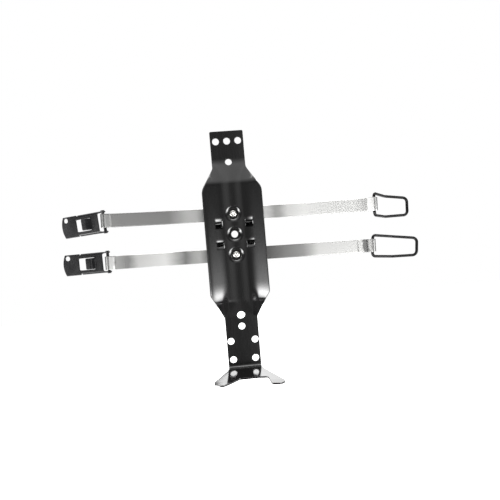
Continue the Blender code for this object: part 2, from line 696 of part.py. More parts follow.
def wire_bail(name, frame, paint):
    """A closed ring of round wire, narrower at its free end and kinked towards the cylinder."""
    half = bail_half()
    ring = half[:-1] + [Vector((place.x, -place.y)) for place in half[:0:-1]]
    curve = bpy.data.curves.new(name, "CURVE")
    curve.dimensions = "3D"
    curve.bevel_depth = WIRE_RADIUS
    curve.bevel_resolution = 3
    curve.render_resolution_u = 0
    spline = curve.splines.new("POLY")
    spline.points.add(len(ring) - 1)
    for spot, place in zip(spline.points, ring):
        out, forward = bail_fold(place.x)
        spot.co = (*point(out, forward, place.y), 1.0)
    spline.use_cyclic_u = True
    spline.use_smooth = True
    curve.materials.append(paint)
    bail = bpy.data.objects.new(name, curve)
    bpy.context.scene.collection.objects.link(bail)
    bail.parent = frame
    return bail


def swing_frame(name, strap_frame, hand, length, curl, rest):
    """A frame on a pin's or bar's axis in its loop, at the piece's rest place."""
    swing, lean, tilt, slide = rest
    centre = end_frame(length, curl)[0]
    turn = Matrix.Rotation(lean, 3, "Y") @ Matrix.Rotation(tilt, 3, "X")
    turn = turn @ Matrix.Rotation(-hand * swing, 3, "Z")
    place = point(hand * centre.x, centre.y, 0.0) + turn @ Vector((0.0, 0.0, slide))
    frame = empty(name, strap_frame, place)
    frame.rotation_euler = turn.to_euler()
    return frame


def build():
    clear_scene()
    black_paint = material("black_paint", (0.012, 0.012, 0.013), 0.0, 0.22)
    lever_paint = material("lever_paint", (0.020, 0.020, 0.022), 0.0, 0.35)
    bright_steel = material("bright_steel", (0.62, 0.62, 0.61), 1.0, 0.28)
    rivet_steel = material("rivet_steel", (0.72, 0.72, 0.71), 1.0, 0.22)
    black_wire = material("black_wire", (0.015, 0.015, 0.016), 0.0, 0.30)
    bracket = empty("bracket_frame", None, point(0.0, 0.0, -ORIGIN_LEVEL))
    back_plate(bracket, black_paint)
    for which, side, curls in (("upper", 1, UPPER_CURL), ("lower", -1, LOWER_CURL)):
        level = point(0.0, 0.0, side * DIMPLE_PITCH)
        strap_frame = empty(f"strap_frame_{which}", bracket, level, STRAP_TURN)
        strap(f"strap_{which}", strap_frame, curls, bright_steel)
        rivet(f"rivet_{which}", strap_frame, rivet_steel)
        lever_frame = swing_frame(f"lever_frame_{which}", strap_frame, -1, STRAP_LEFT, curls[0],
                                  LEVER_REST[which])
        latch_lever(f"latch_lever_{which}", lever_frame, lever_paint)
        latch_pin(f"latch_pin_{which}", lever_frame, lever_paint)
        bail_frame = swing_frame(f"bail_frame_{which}", strap_frame, 1, STRAP_RIGHT, curls[1],
                                 BAIL_REST[which])
        wire_bail(f"wire_bail_{which}", bail_frame, black_wire)


build()
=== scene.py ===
import math

import bmesh
import bpy
from mathutils import Matrix, Vector
from mathutils.geometry import delaunay_2d_cdt
import numpy as np


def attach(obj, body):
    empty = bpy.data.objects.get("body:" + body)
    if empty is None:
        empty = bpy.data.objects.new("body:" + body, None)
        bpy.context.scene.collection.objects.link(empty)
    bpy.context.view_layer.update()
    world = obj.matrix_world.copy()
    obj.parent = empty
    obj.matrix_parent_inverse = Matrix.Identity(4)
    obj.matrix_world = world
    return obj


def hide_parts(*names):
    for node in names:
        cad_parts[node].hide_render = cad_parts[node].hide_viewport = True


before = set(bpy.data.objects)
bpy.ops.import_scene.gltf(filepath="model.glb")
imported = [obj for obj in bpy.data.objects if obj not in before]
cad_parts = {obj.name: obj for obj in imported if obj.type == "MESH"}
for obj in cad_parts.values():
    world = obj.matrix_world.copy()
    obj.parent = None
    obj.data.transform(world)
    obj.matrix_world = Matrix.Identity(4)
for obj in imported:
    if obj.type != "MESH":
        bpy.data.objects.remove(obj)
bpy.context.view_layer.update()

# Sizes in metres, and levels counted from the middle dimple. The main sizes are those of the solids.
MM = 0.001
ORIGIN_LEVEL = 72.8 * MM
SEAT_GAP = 0.3 * MM

# Back plate
PLATE_SHEET = 1.5 * MM
TOP_EDGE = 90.9 * MM
UPPER_BEND = 64.4 * MM
UPPER_RIDGE = 44.8 * MM
LOWER_RIDGE = -58.2 * MM
LOWER_BEND = -74.2 * MM
FOOT_BEND = -119.1 * MM
SADDLE_LIFT = 6.5 * MM
UPPER_TAB_HALF = 14.7 * MM
SHOULDER_TOP = 58.0 * MM
SHOULDER_FOOT = 39.2 * MM
BODY_HALF = 25.9 * MM
BODY_CORNER = -52.0 * MM
NECK = -72.8 * MM
LOWER_TAB_HALF = 14.6 * MM
STRIP_HALF = 9 * MM
STRIP_RADIUS = 115 * MM
WING_RADIUS = 28.6 * MM
FOOT_SLOPE = math.radians(6.7)
FOOT_SKEW = 1.9 * MM
FOOT_RADIUS = 4 * MM
FOOT_LENGTH = 42.5 * MM
FOOT_HALF = 29.4 * MM
FOOT_CORNER = 4.5 * MM
NOTCH_START = 28 * MM
DIMPLE_PITCH = 17.9 * MM
DIMPLE_DEPTH = 2 * MM
DIMPLE_BACK = SADDLE_LIFT - DIMPLE_DEPTH
SCREW_RADIUS = 3 * MM
RIVET_HOLE_RADIUS = 2.3 * MM
SHANK_RADIUS = 2 * MM
SLOPE_HOLE = -71.3 * MM
SLOPE_HOLE_RADIUS = 3.6 * MM
WINDOW_OFFSET = 13.4 * MM
WINDOW_WIDTH = 7 * MM
WINDOW_FOOT = 6.75 * MM
STOP_WIDTH = 6 * MM
STOP_LEVEL = 11.7 * MM
STOP_BEND = 0.4 * MM
STOP_REACH = 3.7 * MM
STOP_CLEARANCE = 0.25 * MM

# Distance from the foot's bend line and half the foot's width there
FOOT_SIDE = [(3.5 * MM, LOWER_TAB_HALF), (9 * MM, LOWER_TAB_HALF + 1.5 * MM),
             (35 * MM, FOOT_HALF - 0.5 * MM), (39 * MM, FOOT_HALF)]

# How far right the notch's sides lie at its inner end and at the foot's edge
NOTCH_RIGHT = (16.3 * MM, 17.5 * MM)
NOTCH_LEFT = (-7.4 * MM, -21.4 * MM)

# Screw holes across and up, in millimetres
SCREW_HOLES = [(-9.8, 82.0), (0, 82.0), (9.8, 82.0), (0, 63.3), (0, -81.8), (-10.8, -94.5), (10.8, -94.5),
               (-9.9, -111.0), (9.9, -111.0)]

# Soft bends, press marks and dulled edges, finer than the solids have them
PRESS_RADII = [22 * MM, 12 * MM, 8 * MM, 10 * MM]
DIMPLE_RIM = 6.9 * MM
DIMPLE_SLOPE = 2.6 * MM
ROLL_DEPTH = 1.9 * MM
ROLL_LENGTH = 18 * MM
ROLL_START = 10 * MM
ROLL_WIDTH = 7 * MM
LIP_DEPTH = 0.4 * MM
LIP_HEIGHT = 1.4 * MM
LIP_SIDE = 1.6 * MM
PLATE_EDGE = 0.14 * MM
STRAP_EDGE = 0.3 * MM
LEVER_EDGE = 0.18 * MM
PLATE_GRAIN = 0.7 * MM
LEVER_GRAIN = 0.5 * MM

# Straps
STRAP_WIDTH = 11.6 * MM
STRAP_SHEET = 0.7 * MM
STRAP_TURN = math.radians(1.0)
STRAP_MIDDLE = DIMPLE_BACK - SEAT_GAP - STRAP_SHEET / 2
STRAP_LEFT = 110.3 * MM
STRAP_RIGHT = 122.6 * MM
STRAP_FLAT = 12 * MM
LAYER_STEP = STRAP_SHEET + 0.1 * MM
TAIL_LENGTH = 13.2 * MM
TAIL_SPLIT = 5 * MM
SPLIT_START = 7 * MM
SPLIT_RADIUS = 6 * MM
WELD_PLACE = 8.7 * MM
WELD_PIT = 1.7 * MM
WELD_PIT_DEPTH = 0.16 * MM
WELD_PIT_SLOPE = 0.5 * MM
WELD_RING = 2.0 * MM
WELD_RING_HEIGHT = 0.07 * MM
WELD_RING_WIDTH = 0.35 * MM
PIN_RADIUS = 1.25 * MM
LOOP_RADIUS = PIN_RADIUS + 0.8 * MM + STRAP_SHEET / 2

# How far each strap's left and right half curls forward
CURLS = {"upper": (math.radians(16.0), math.radians(20.0)), "lower": (math.radians(3.0), math.radians(0.5))}

# Latch levers
LEVER_SHEET = 1.2 * MM
LEVER_HALF = 9 * MM
LEVER_FACE = 2.7 * MM
LEVER_LENGTH = 38.8 * MM
LEVER_BEND = 1.5 * MM
LEVER_END_RADIUS = 20 * MM
WEB_START = 4.2 * MM
WEB_START_HALF = 6.6 * MM
EAR_HALF = 2.1 * MM
EAR_DROP = 2.7 * MM
EAR_END = 9 * MM
FLANGE_START = 11 * MM
FLANGE_DROP = 0.6 * MM
FLANGE_CORNER = 22.1 * MM
FLANGE_END = 23 * MM
RELIEF_WIDTH = 0.9 * MM
TONGUE_WIDTH = 9.5 * MM
TONGUE_ROOT = 10.5 * MM
TONGUE_RISE = 4 * MM
TONGUE_RISE_LENGTH = 2.2 * MM
TONGUE_TIP = 19.6 * MM
TONGUE_END = 24 * MM
LEVER_WINDOW_START = 10.8 * MM
LEVER_WINDOW_END = 24.9 * MM
LEVER_WINDOW_HALF = 4.95 * MM
PIN_HOLE_RADIUS = 1.55 * MM
CORNER_HOLE = (34.4 * MM, 5.9 * MM)
CORNER_HOLE_RADIUS = 2 * MM

# Wire bails
WIRE_RADIUS = 1.25 * MM
BAIL_BAR_WIDTH = 21.4 * MM
BAIL_KINK_WIDTH = 20.6 * MM
BAIL_END_WIDTH = 17.6 * MM
BAIL_LENGTH = 43.9 * MM
BAIL_KINK_PLACE = 20.5 * MM
BAIL_KINK = math.radians(41.0)
BAIL_KINK_RADIUS = 4 * MM
BAIL_RADII = {"bar": 2.75, "side": 18, "end": 4}
WIRE_STEP = 0.6 * MM

# Rest places: swing, lean in the strap's plane, tilt out of it, slide along the axis
LEVER_REST = {"upper": (math.radians(-20.0), math.radians(-5.0), 0.0, -0.8 * MM),
              "lower": (math.radians(-9.0), math.radians(-1.8), 0.0, 1.1 * MM)}
BAIL_REST = {"upper": (math.radians(-45.0), math.radians(2.6), math.radians(-4.5), -0.2 * MM),
             "lower": (math.radians(-14.0), math.radians(5.0), math.radians(-3.0), -0.3 * MM)}
SIDE = {"upper": 1, "lower": -1}


def point(across, forward, up):
    """A place given as distance to the right, forward from the wall, and up."""
    return Vector((across, -forward, up))


def eased(share):
    """A share held between 0 and 1 that starts and ends softly."""
    share = np.clip(share, 0.0, 1.0)
    return share * share * (3 - 2 * share)


def strap_frame(which):
    """A frame on the rivet's axis, turned as the strap lies on the plate."""
    place = point(0.0, 0.0, SIDE[which] * DIMPLE_PITCH - ORIGIN_LEVEL)
    return Matrix.Translation(place) @ Matrix.Rotation(STRAP_TURN, 4, "Y")


def corner_arc(before, corner, after, radius, steps):
    """Points of an arc that touches both sides of a corner."""
    back = (before - corner).normalized()
    ahead = (after - corner).normalized()
    opening = back.angle(ahead)
    if math.pi - opening < 1e-6:
        return [corner]
    # An arc takes a little less than half of the shorter side
    room = min((before - corner).length, (after - corner).length) * 0.49
    reach = min(radius / math.tan(opening / 2), room)
    radius = reach * math.tan(opening / 2)
    middle = corner + (back + ahead).normalized() * radius / math.sin(opening / 2)
    start = corner + back * reach - middle
    end = corner + ahead * reach - middle
    sweep = start.angle(end)
    arc = []
    for share in np.linspace(0.0, 1.0, steps + 1):
        mixed = start * math.sin((1 - share) * sweep) + end * math.sin(share * sweep)
        arc.append(middle + mixed / math.sin(sweep))
    return arc


def rounded(corners, radii, steps):
    """A path through the corners, each inner one replaced by an arc of its radius."""
    path = [Vector(corners[0])]
    for before, corner, after, radius in zip(corners, corners[1:], corners[2:], radii):
        path += corner_arc(Vector(before), Vector(corner), Vector(after), radius, steps)
    path.append(Vector(corners[-1]))
    return path


def rounded_loop(corners, radii, steps):
    """A closed path whose corners are arcs, their radii in millimetres."""
    path = []
    for number, corner in enumerate(corners):
        before = Vector(corners[number - 1])
        after = Vector(corners[(number + 1) % len(corners)])
        path += corner_arc(before, Vector(corner), after, radii[number] * MM, steps)
    return path


def circle(across, up, radius, steps):
    """Points round a hole."""
    return [Vector((across + radius * math.cos(turn), up + radius * math.sin(turn)))
            for turn in np.linspace(0.0, math.tau, steps, endpoint=False)]


def spaced(loop, step):
    """The closed loop as an array with no gap longer than the step and no double points."""
    places = []
    for start, end in zip(loop, loop[1:] + loop[:1]):
        length = (end - start).length
        if length < 0.02 * MM:
            continue
        pieces = max(1, math.ceil(length / step))
        places += [tuple(start.lerp(end, share / pieces)) for share in range(pieces)]
    return np.array(places)


def inward(loop, distance, hole):
    """The loop moved into the sheet: inside an outline, outside a hole."""
    following = np.roll(loop, -1, axis=0) - loop
    following /= np.linalg.norm(following, axis=1)[:, None]
    normals = np.stack([-following[:, 1], following[:, 0]], axis=1)
    corner = normals + np.roll(normals, 1, axis=0)
    corner /= np.maximum(0.5, (corner ** 2).sum(axis=1) / 2)[:, None]
    area = (loop[:, 0] * np.roll(loop[:, 1], -1) - np.roll(loop[:, 0], -1) * loop[:, 1]).sum()
    turn = math.copysign(1.0, area) * (-1.0 if hole else 1.0)
    return loop + corner * distance * turn


def inside(places, loop):
    """Which places lie within a closed loop."""
    found = np.zeros(len(places), bool)
    ends = np.roll(loop, -1, axis=0)
    for (x0, y0), (x1, y1) in zip(loop, ends):
        if y0 == y1:
            continue
        crosses = (places[:, 1] > y0) != (places[:, 1] > y1)
        found ^= crosses & (places[:, 0] < x0 + (places[:, 1] - y0) / (y1 - y0) * (x1 - x0))
    return found


def nearest(places, loops):
    """Distance from each place to the nearest point of the loops."""
    marks = np.concatenate(loops)
    best = np.full(len(places), np.inf)
    batch = 400
    for start in range(0, len(marks), batch):
        part = marks[start:start + batch]
        gap = ((places[:, None, :] - part[None, :, :]) ** 2).sum(axis=2).min(axis=1)
        best = np.minimum(best, gap)
    return np.sqrt(best)


def in_sheet(places, loops):
    """Which places lie within the first loop, the outline, and outside the others, the holes."""
    kept = inside(places, loops[0])
    for loop in loops[1:]:
        kept &= ~inside(places, loop)
    return kept


def blank(loops, grain):
    """Triangles that fill the sheet's outline and leave its holes open."""
    low = loops[0].min(axis=0)
    high = loops[0].max(axis=0)
    rows = np.arange(low[1], high[1], grain * math.sqrt(3) / 2)
    columns = np.arange(low[0], high[0], grain)
    places = np.array([(across + (row % 2) * grain / 2, up)
                       for row, up in enumerate(rows) for across in columns])
    places = places[in_sheet(places, loops)]
    # Inner places keep about half a grain away from the edges
    places = places[nearest(places, loops) > grain * 0.55]
    edges = []
    count = 0
    for loop in loops:
        edges += [(count + number, count + (number + 1) % len(loop)) for number in range(len(loop))]
        count += len(loop)
    marks = np.concatenate(loops + [places])
    flat, _, faces, *_ = delaunay_2d_cdt([Vector(place) for place in marks], edges, [], 0, 1e-7)
    flat = np.array([tuple(place) for place in flat])
    faces = np.array(faces)
    return flat, faces[in_sheet(flat[faces].mean(axis=1), loops)]


def make_mesh(name, places, faces, sharp=40.0):
    """A piece from its places and faces, smooth but for edges sharper than so many degrees."""
    mesh = bpy.data.meshes.new(name)
    mesh.from_pydata([tuple(place) for place in places], [], [tuple(face) for face in faces])
    mesh.validate()
    shape = bmesh.new()
    shape.from_mesh(mesh)
    bmesh.ops.remove_doubles(shape, verts=shape.verts, dist=1e-7)
    bmesh.ops.recalc_face_normals(shape, faces=shape.faces)
    shape.to_mesh(mesh)
    shape.free()
    mesh.shade_smooth()
    mesh.set_sharp_from_angle(angle=math.radians(sharp))
    made = bpy.data.objects.new(name, mesh)
    bpy.context.scene.collection.objects.link(made)
    return made


def surface_normals(place, flat):
    """Unit normals of a mapped sheet, from small steps along it."""
    step = 0.01 * MM
    along = place(flat + [step, 0.0]) - place(flat - [step, 0.0])
    up = place(flat + [0.0, step]) - place(flat - [0.0, step])
    normals = np.cross(along, up)
    return normals / np.linalg.norm(normals, axis=1)[:, None]


def edge_profile(sheet, edge):
    """Steps round a cut edge with dulled corners: how far out, from 0 to 1, and how high in the sheet."""
    turns = np.linspace(0.0, math.pi / 2, 4)
    profile = [(math.sin(turn), edge * (1 - math.cos(turn))) for turn in turns]
    return profile + [(out, sheet - rise) for out, rise in profile[::-1]]


def pressed(name, loops, place, sheet, grain, edge):
    """A pressed sheet: a flat blank mapped to its shape, thickened, with softened cut edges.

    place maps an array of flat points to the face that the thickness grows from.
    """
    loops = [spaced(loop, grain) for loop in loops]
    inner = [inward(loop, edge, number > 0) for number, loop in enumerate(loops)]
    flat, faces = blank(inner, grain)
    base = place(flat)
    places = [base, base + surface_normals(place, flat) * sheet]
    solid = [faces[:, ::-1], faces + len(flat)]
    count = 2 * len(flat)
    for loop, ring in zip(loops, inner):
        lift = surface_normals(place, ring)
        start = place(ring)
        reach = place(loop) - start
        reach -= lift * (reach * lift).sum(axis=1)[:, None]
        length = np.linalg.norm(reach, axis=1)[:, None]
        # At a tight fold the mapped edge would stand out too far
        reach *= np.minimum(1.0, 1.6 * edge / np.maximum(length, 1e-9))
        rings = [start + reach * out + lift * rise for out, rise in edge_profile(sheet, edge)]
        places += rings
        spots = np.arange(len(ring))
        after = np.roll(spots, -1)
        for low in range(count, count + len(ring) * (len(rings) - 1), len(ring)):
            high = low + len(ring)
            solid.append(np.stack([low + spots, low + after, high + after, high + spots], axis=1))
        count += len(ring) * len(rings)
    every = [tuple(face) for part in solid for face in part]
    return make_mesh(name, np.concatenate(places), every)


def lofted(name, rings, closed, sharp=40.0):
    """A skin over rings of equal size, capped at both ends unless it closes on itself."""
    count, size = len(rings), len(rings[0])
    places = [place for ring in rings for place in ring]
    faces = []
    for number in range(count if closed else count - 1):
        after = (number + 1) % count
        for spot in range(size):
            nearby = (spot + 1) % size
            faces.append((number * size + spot, number * size + nearby,
                          after * size + nearby, after * size + spot))
    if not closed:
        faces.append(tuple(range(size)))
        faces.append(tuple(range((count - 1) * size, count * size)))
    return make_mesh(name, places, faces, sharp)


def turned(name, profile, sides, where):
    """A turned piece. The profile is (radius, distance along Z), and where places it."""
    rings = []
    for radius, along in profile:
        rings.append([where @ Vector((radius * math.cos(turn), radius * math.sin(turn), along))
                      for turn in np.linspace(0.0, math.tau, sides, endpoint=False)])
    return lofted(name, rings, False, 35.0)


# Forming the back plate


def spine():
    """The rear face's middle line as levels and distances forward, running past both ends of the plate."""
    corners = [(0.0, TOP_EDGE + 1 * MM), (0.0, UPPER_BEND), (SADDLE_LIFT, UPPER_RIDGE),
               (SADDLE_LIFT, LOWER_RIDGE), (0.0, LOWER_BEND), (0.0, 2 * FOOT_BEND)]
    path = rounded(corners, PRESS_RADII, 16)
    return np.array([place.y for place in path[::-1]]), np.array([place.x for place in path[::-1]])


SPINE_LEVELS, SPINE_FORWARD = spine()
FOOT_TURN = math.pi / 2 - FOOT_SLOPE
FOOT_REACH = FOOT_RADIUS * math.tan(FOOT_TURN / 2)
FOOT_START = FOOT_BEND + FOOT_REACH


def dimple(across, up):
    """Depth of the three pressed dimples at a place."""
    depth = np.zeros(len(across))
    for step in (-1, 0, 1):
        gap = np.hypot(across, up - step * DIMPLE_PITCH)
        depth += DIMPLE_DEPTH * eased((DIMPLE_RIM - gap) / DIMPLE_SLOPE)
    return depth


def saddle_forward(across, up):
    """Forward distance of the plate's rear face above the foot's bend."""
    centre = np.interp(up, SPINE_LEVELS, SPINE_FORWARD)
    out = np.abs(across)
    hollow = np.minimum(out, STRIP_HALF) ** 2 / (2 * STRIP_RADIUS)
    start = STRIP_HALF / STRIP_RADIUS * WING_RADIUS
    along = np.where(out > STRIP_HALF, out - STRIP_HALF + start, start)
    # The wing's arc is held before it would stand upright
    along = np.minimum(along, WING_RADIUS * 0.9)
    rise = math.sqrt(WING_RADIUS ** 2 - start ** 2) - np.sqrt(WING_RADIUS ** 2 - along ** 2)
    pressed_in = corner_roll(across, up) + dimple(across, up) + window_lip(across, up)
    return centre + centre / SADDLE_LIFT * (hollow + rise) - pressed_in


def window_lip(across, up):
    """How far the sheet was drawn in above each stop window when the press opened it."""
    gap = np.abs(np.abs(across) - WINDOW_OFFSET)
    slack = 0.01 * MM
    depth = np.zeros(len(across))
    for edge in (STOP_LEVEL + STOP_BEND, -WINDOW_FOOT):
        above = up - edge
        depth += np.where(above > -slack, LIP_DEPTH * np.exp(-(above / LIP_HEIGHT) ** 2), 0.0)
    return depth * eased((WINDOW_WIDTH / 2 + LIP_SIDE / 2 - gap) / LIP_SIDE)


def corner_roll(across, up):
    """How far the wings roll back towards their lower corners, before the ridge."""
    before = np.clip((LOWER_RIDGE + ROLL_LENGTH - up) / ROLL_LENGTH, 0.0, 1.0)
    after = np.clip((up - LOWER_BEND) / (LOWER_RIDGE - LOWER_BEND), 0.0, 1.0)
    return ROLL_DEPTH * eased((np.abs(across) - ROLL_START) / ROLL_WIDTH) * before ** 3 * after


def foot_skew(across, length):
    """How much lower a place on the foot lies, bent down at its right edge and up at its left."""
    lengths, halves = np.transpose(FOOT_SIDE)
    flat = STRIP_HALF / BODY_HALF
    share = np.clip(np.abs(across) / np.interp(length, lengths, halves) - flat, 0.0, None) / (1 - flat)
    return np.sign(across) * share * FOOT_SKEW * length / FOOT_LENGTH


def fold_foot(across, past, forward, level):
    """Folds forward, in place, what lies past the start of the foot's bend."""
    arc = FOOT_RADIUS * FOOT_TURN
    turn = np.minimum(past, arc) / FOOT_RADIUS
    beyond = np.clip(past - arc, 0.0, None)
    bent = past > 0
    skew = foot_skew(across, np.minimum(past, arc) * FOOT_REACH / arc + beyond)
    forward[bent] = (FOOT_RADIUS * (1 - np.cos(turn)) + beyond * math.cos(FOOT_SLOPE))[bent]
    level[bent] = (FOOT_START - FOOT_RADIUS * np.sin(turn) - beyond * math.sin(FOOT_SLOPE) - skew)[bent]


def bend_stops(side, across, up, forward, level):
    """Bends back, in place, the two stop tabs above the middle (side 1) or below it (side -1)."""
    start = STOP_LEVEL + STOP_BEND
    gap = np.abs(np.abs(across) - WINDOW_OFFSET)
    height = side * up
    tab = (gap < WINDOW_WIDTH / 2 - STOP_CLEARANCE) & (height < start) & (height > WINDOW_FOOT - 1 * MM)
    past = start - height[tab]
    turn = np.minimum(past / STOP_BEND, math.pi / 2)
    beyond = np.clip(past - STOP_BEND * math.pi / 2, 0.0, None)
    root = saddle_forward(across[tab], np.full(tab.sum(), side * start))
    level[tab] = side * (start - STOP_BEND * np.sin(turn))
    forward[tab] = root - STOP_BEND * (1 - np.cos(turn)) - beyond


def plate_place(flat):
    """Maps the plate's blank to its rear face. Below the foot's bend the blank is measured along it."""
    across, up = flat[:, 0], flat[:, 1]
    forward = saddle_forward(across, np.maximum(up, FOOT_START))
    level = up.copy()
    fold_foot(across, np.clip(FOOT_START - up, 0.0, None), forward, level)
    for side in (-1, 1):
        bend_stops(side, across, up, forward, level)
    return np.stack([across, -forward, level - ORIGIN_LEVEL], axis=1)


def foot_along(length):
    """Blank level of a place on the foot at a distance from the bend line."""
    return FOOT_START - FOOT_RADIUS * FOOT_TURN - (length - FOOT_REACH)


def plate_outline():
    """The blank's edge: its right side from the top down, the foot's notch and its left side back up."""
    half = [(UPPER_TAB_HALF, TOP_EDGE), (UPPER_TAB_HALF, SHOULDER_TOP), (BODY_HALF, SHOULDER_FOOT),
            (BODY_HALF, BODY_CORNER), (LOWER_TAB_HALF, NECK)]
    half += [(wide, foot_along(length)) for length, wide in FOOT_SIDE]
    half.append((FOOT_HALF - FOOT_CORNER, foot_along(FOOT_LENGTH)))
    radii = [1.2, 7.0, 14.0, 6.0, 6.0, 5.0, 6.0, 3.0, 2.5, 3.0]
    notch = [(NOTCH_RIGHT[1], foot_along(FOOT_LENGTH)), (NOTCH_RIGHT[0], foot_along(NOTCH_START)),
             (NOTCH_LEFT[0], foot_along(NOTCH_START)), (NOTCH_LEFT[1], foot_along(FOOT_LENGTH))]
    notch_radii = [1.2, 1.5, 1.5, 1.5]
    corners = half + notch + [(-across, up) for across, up in half[::-1]]
    return rounded_loop(corners, radii + notch_radii + radii[::-1], 8)


def stop_window(hand, side):
    """Edge of a window with its stop tab still in it, hinged beside the strap."""
    near = STOP_LEVEL + STOP_BEND
    far = near - STOP_REACH - 0.2 * MM
    wide = WINDOW_WIDTH / 2
    slim = STOP_WIDTH / 2 + STOP_CLEARANCE
    corners = [(-wide, WINDOW_FOOT), (wide, WINDOW_FOOT), (wide, near), (slim, near), (slim, far),
               (-slim, far), (-slim, near), (-wide, near)]
    placed = [(hand * WINDOW_OFFSET + across, side * up) for across, up in corners]
    return rounded_loop(placed, [0.4, 0.4, 0.2, 0.2, 0.4, 0.4, 0.2, 0.2], 4)


def make_back_plate():
    """The plate's blank with all its holes and windows, pressed to shape."""
    loops = [plate_outline()]
    loops += [circle(across * MM, up * MM, SCREW_RADIUS, 36) for across, up in SCREW_HOLES]
    loops.append(circle(0.0, SLOPE_HOLE, SLOPE_HOLE_RADIUS, 40))
    loops.append(circle(0.0, 0.0, SCREW_RADIUS, 36))
    loops += [circle(0.0, side * DIMPLE_PITCH, RIVET_HOLE_RADIUS, 28) for side in (-1, 1)]
    loops += [stop_window(hand, side) for hand in (-1, 1) for side in (-1, 1)]
    return pressed("back_plate_pressed", loops, plate_place, PLATE_SHEET, PLATE_GRAIN, PLATE_EDGE)


# Rolling the straps


def band_place(length, along, curl):
    """Place and turn on the band's middle line at a distance from the rivet."""
    if along <= STRAP_FLAT:
        return Vector((along, STRAP_MIDDLE)), 0.0
    radius = (length - STRAP_FLAT) / curl
    turn = (along - STRAP_FLAT) / radius
    out = STRAP_FLAT + radius * math.sin(turn)
    return Vector((out, STRAP_MIDDLE + radius * (1 - math.cos(turn)))), turn


def end_frame(length, curl):
    """Loop centre, outward direction and front direction at the end of a band."""
    place, turn = band_place(length, length, curl)
    out = Vector((math.cos(turn), math.sin(turn)))
    front = Vector((-math.sin(turn), math.cos(turn)))
    return place + front * LAYER_STEP / 2, out, front


def half_band(length, curl):
    """Middle line of half a band, from the rivet out, round the loop and back to the tail's end."""
    path = [band_place(length, along, curl)[0] for along in np.linspace(0.5 * MM, length - SPLIT_START, 60)]
    centre, out, front = end_frame(length, curl)
    reach = math.hypot(TAIL_SPLIT, LAYER_STEP / 2)
    start = math.pi - math.atan2(LAYER_STEP / 2, TAIL_SPLIT) - math.acos(LOOP_RADIUS / reach)
    loop = [centre + (out * math.cos(turn) + front * math.sin(turn)) * LOOP_RADIUS
            for turn in np.linspace(-start, start, 48)]
    tail = []
    for along in np.linspace(length - SPLIT_START, length - TAIL_LENGTH, 28):
        place, turn = band_place(length, along, curl)
        tail.append(place + Vector((-math.sin(turn), math.cos(turn))) * LAYER_STEP)
    split = band_place(length, length - TAIL_SPLIT, curl)[0]
    into_loop = corner_arc(path[-1], split, loop[0], SPLIT_RADIUS, 8)
    out_of_loop = corner_arc(loop[-1], split + front * LAYER_STEP, tail[0], SPLIT_RADIUS, 8)
    return path + into_loop + loop + out_of_loop + tail


def strip_section(width, sheet, edge, steps):
    """Points (across the width, through the sheet) round a strip's cut section."""
    half = width / 2 - edge
    thick = sheet / 2 - edge
    section = [(across, sheet / 2) for across in np.linspace(-half, half, steps)]
    for through, angles in ((thick, (60, 30, 0)), (-thick, (-30, -60, -90))):
        for turn in map(math.radians, angles):
            section.append((half + edge * math.cos(turn), through + edge * math.sin(turn)))
    return section + [(-across, -through) for across, through in section]


def weld_mark(gap):
    """Height of a spot weld's print: a shallow pit inside a faint raised ring."""
    pit = WELD_PIT_DEPTH * max(0.0, min(1.0, (WELD_PIT - gap) / WELD_PIT_SLOPE))
    ring = WELD_RING_HEIGHT * math.exp(-((gap - WELD_RING) / WELD_RING_WIDTH) ** 2)
    return ring - pit


def band_path(which):
    """Middle line of the whole band, from its right tail through the rivet to its left tail."""
    left_curl, right_curl = CURLS[which]
    right = half_band(STRAP_RIGHT, right_curl)
    left = [Vector((-place.x, place.y)) for place in half_band(STRAP_LEFT, left_curl)]
    path = right[::-1] + left
    apart = 0.03 * MM
    clean = [path[0]]
    for place in path[1:]:
        if (place - clean[-1]).length > apart:
            clean.append(place)
    return clean


def make_strap(which):
    """A band with a welded loop at each end, swept along its middle line."""
    path = band_path(which)
    frame_at = strap_frame(which)
    section = strip_section(STRAP_WIDTH, STRAP_SHEET, STRAP_EDGE, 31)
    flat_face = STRAP_SHEET * 0.45
    lengths = [0.0]
    for before, after in zip(path, path[1:]):
        lengths.append(lengths[-1] + (after - before).length)
    weld = TAIL_LENGTH - WELD_PLACE
    marks = (weld, lengths[-1] - weld)
    rings = []
    for number, place in enumerate(path):
        before = path[max(number - 1, 0)]
        after = path[min(number + 1, len(path) - 1)]
        along = (after - before).normalized()
        normal = Vector((along.y, -along.x))
        ring = []
        for across, through in section:
            if through > flat_face:
                through += weld_mark(min(math.hypot(lengths[number] - mark, across) for mark in marks))
            spot = place + normal * through
            ring.append(frame_at @ point(spot.x, spot.y, across))
        rings.append(ring)
    return lofted(f"steel_band_{which}", rings, False)


# Turning the rivets, pressing the levers and bending the bails


def make_rivet(which):
    """Turned rivet: domed head with a small pit, shank through plate and band, set tail."""
    under = DIMPLE_BACK + PLATE_SHEET + SEAT_GAP
    tail = STRAP_MIDDLE - STRAP_SHEET / 2 - SEAT_GAP
    tail_profile = [(0.0001, 1.3), (1.6, 1.3), (2.4, 1.22), (2.9, 0.95), (3.2, 0.5), (3.3, 0.15),
                    (3.3, 0.0)]
    head_profile = [(3.0, 0.0), (3.0, 0.3), (2.93, 0.5), (2.66, 0.9), (2.5, 1.04), (2.2, 1.13), (1.8, 1.18),
                    (1.3, 1.2), (1.15, 1.16), (0.95, 0.95), (0.6, 0.7), (0.0001, 0.62)]
    profile = [(radius * MM, tail - down * MM) for radius, down in tail_profile]
    profile += [(SHANK_RADIUS, tail), (SHANK_RADIUS, under)]
    profile += [(radius * MM, under + rise * MM) for radius, rise in head_profile]
    where = strap_frame(which) @ Matrix.Rotation(math.pi / 2, 4, "X")
    return turned(f"rivet_turned_{which}", profile, 48, where)


